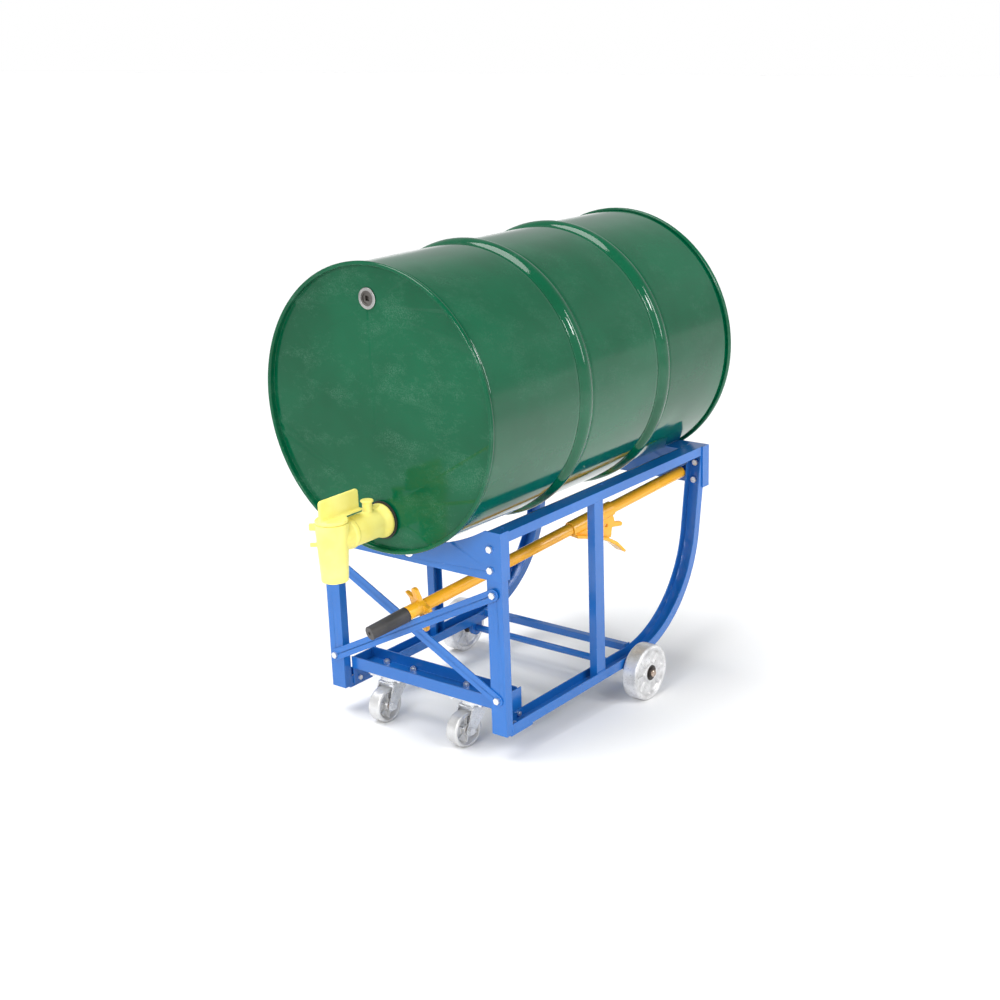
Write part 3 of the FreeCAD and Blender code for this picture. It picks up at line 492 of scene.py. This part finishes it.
def make_drum(materials):
    points, faces = drum_ring(drum_profile(), 0, 1, dented)
    add_piece("drum_body", points, faces, "drum", "drum_paint", materials, ["drum_shell"])
    turns = [2 * math.pi * k / 24 for k in range(24)]
    rim = [(RIM_CENTRE[0] + RIM_HALF[0] * squared(math.cos(a)),
            RIM_CENTRE[1] + RIM_HALF[1] * squared(math.sin(a))) for a in turns]
    for name, end, direction in (("chime_front", 0.0, 1), ("chime_rear", DRUM_LENGTH, -1)):
        points, faces = drum_ring(rim, end, direction)
        add_piece(name, points, faces, "drum", "drum_paint", materials)


def bead(points, faces, path, radius):
    """Weld bead along a level path of points: overlapping ripples, laid into one mesh."""
    path = [Vector(point) for point in path]
    stations = []
    for a, b in zip(path, path[1:]):
        count = max(2, int((b - a).length / 0.9))
        stations += [a.lerp(b, k / count) for k in range(count)]
    stations.append(path[-1])
    start, sides, last = len(points), 7, len(stations) - 1
    for k, station in enumerate(stations):
        ahead = stations[min(k + 1, last)] - stations[max(k - 1, 0)]
        ahead.normalize()
        side = ahead.orthogonal().normalized()
        other = ahead.cross(side)
        ends = min(1.0, 0.35 + min(k, last - k) * 0.4)
        size = radius * ends * (1 + 0.16 * math.sin(k * 1.9) + RNG.uniform(-0.07, 0.07))
        for s in range(sides):
            a = 2 * math.pi * s / sides
            points.append(tuple(station + (side * math.cos(a) + other * math.sin(a)) * size))
    for k in range(last):
        row = start + k * sides
        for s in range(sides):
            n = (s + 1) % sides
            faces.append((row + s, row + n, row + sides + n, row + sides + s))
    faces.append(tuple(start + s for s in range(sides)))
    faces.append(tuple(start + last * sides + s for s in reversed(range(sides))))


# Beads of the right side, which the left side mirrors: radius, and the path in level millimetres.
SIDE_WELDS = (
    # rocker's front end to the front post's two walls
    (1.7, ((241.2, 100.2, 84.5), (241.2, 100.2, 103.5))),
    (1.7, ((203.8, 100.2, 84.5), (203.8, 100.2, 103.5))),
    # middle post to the rocker below and the top rail above
    (1.8, ((238.6, 406, 104.6), (238.6, 436, 104.6))),
    (1.8, ((220.5, 437.2, 86.8), (238, 437.2, 86.8))),
    (1.8, ((220.5, 404.8, 86.8), (238, 404.8, 86.8))),
    (1.7, ((238.4, 406, 494.8), (238.4, 436, 494.8))),
    # axle bracket to the rocker's underside, along both of its faces
    (1.9, ((216.9, 539, 83.3), (216.9, 553, 83.3), (216.9, 571, 83.6))),
    (1.9, ((228.1, 539, 83.3), (228.1, 553, 83.3), (228.1, 571, 83.6))),
    # rear cross bar's end, all round
    (1.7, ((203.3, 567, 93), (203.3, 567, 109), (203.3, 583, 109), (203.3, 583, 93), (203.3, 567, 93))),
    # caster cross channel to its bracket: the channel's floor and both walls
    (1.8, ((200.3, 108, 126), (200.3, 168, 126))),
    (1.5, ((200.2, 103.2, 130), (200.2, 103.2, 149))),
    (1.5, ((200.2, 166.8, 130), (200.2, 166.8, 149))),
    # rocker's rear end to the top rail
    (1.8, ((206, 853.8, 495), (240, 853.8, 495))),
    (1.5, ((241.2, 833, 495), (241.2, 852, 495))),
    (1.5, ((203.8, 833, 495), (203.8, 852, 495))),
    # top rail to the rear saddle
    (1.5, ((208, 858.6, 512.6), (238, 858.6, 512.6))),
)
# Lever peg to the rear saddle: the centre and radius of the bead's ring, and the bead's own radius.
PEG_ROOT = (196.3, 858.4, 454.7)
PEG_RING = 9.8
PEG_BEAD = 1.7


def make_welds(materials):
    points, faces = [], []
    for side in (-1, 1):
        for radius, path in SIDE_WELDS:
            bead(points, faces, [(side * x, y, z) for x, y, z in path], radius)
    x, y, z = PEG_ROOT
    turns = [2 * math.pi * k / 20 for k in range(21)]
    ring = [(x + PEG_RING * math.cos(a), y, z + PEG_RING * math.sin(a)) for a in turns]
    bead(points, faces, ring, PEG_BEAD)
    add_piece("weld_beads", points, faces, "frame", "frame_paint", materials)


# ---------------------------------------------------------------- scene

make_camera()
make_world()
make_floor()
sun_light("ceiling", (0.25, 0.30, -1.0), strength=2.6, angle=45)
area_light("key", (0.9, -3.6, 2.0), (0, 0, 0.5), size=(1.2, 1.4), power=60)
area_light("side", (3.6, 0.9, 2.6), (0, 0, 0.5), size=(0.7, 2.6), power=45)
area_light("glint", (3.2, -0.55, 2.85), (0, 0, 0.8), size=(0.5, 0.7), power=26)
materials = make_materials()
dress_cad_nodes(materials)
make_drum(materials)
make_welds(materials)

bpy.context.scene.view_settings.view_transform = "Standard"
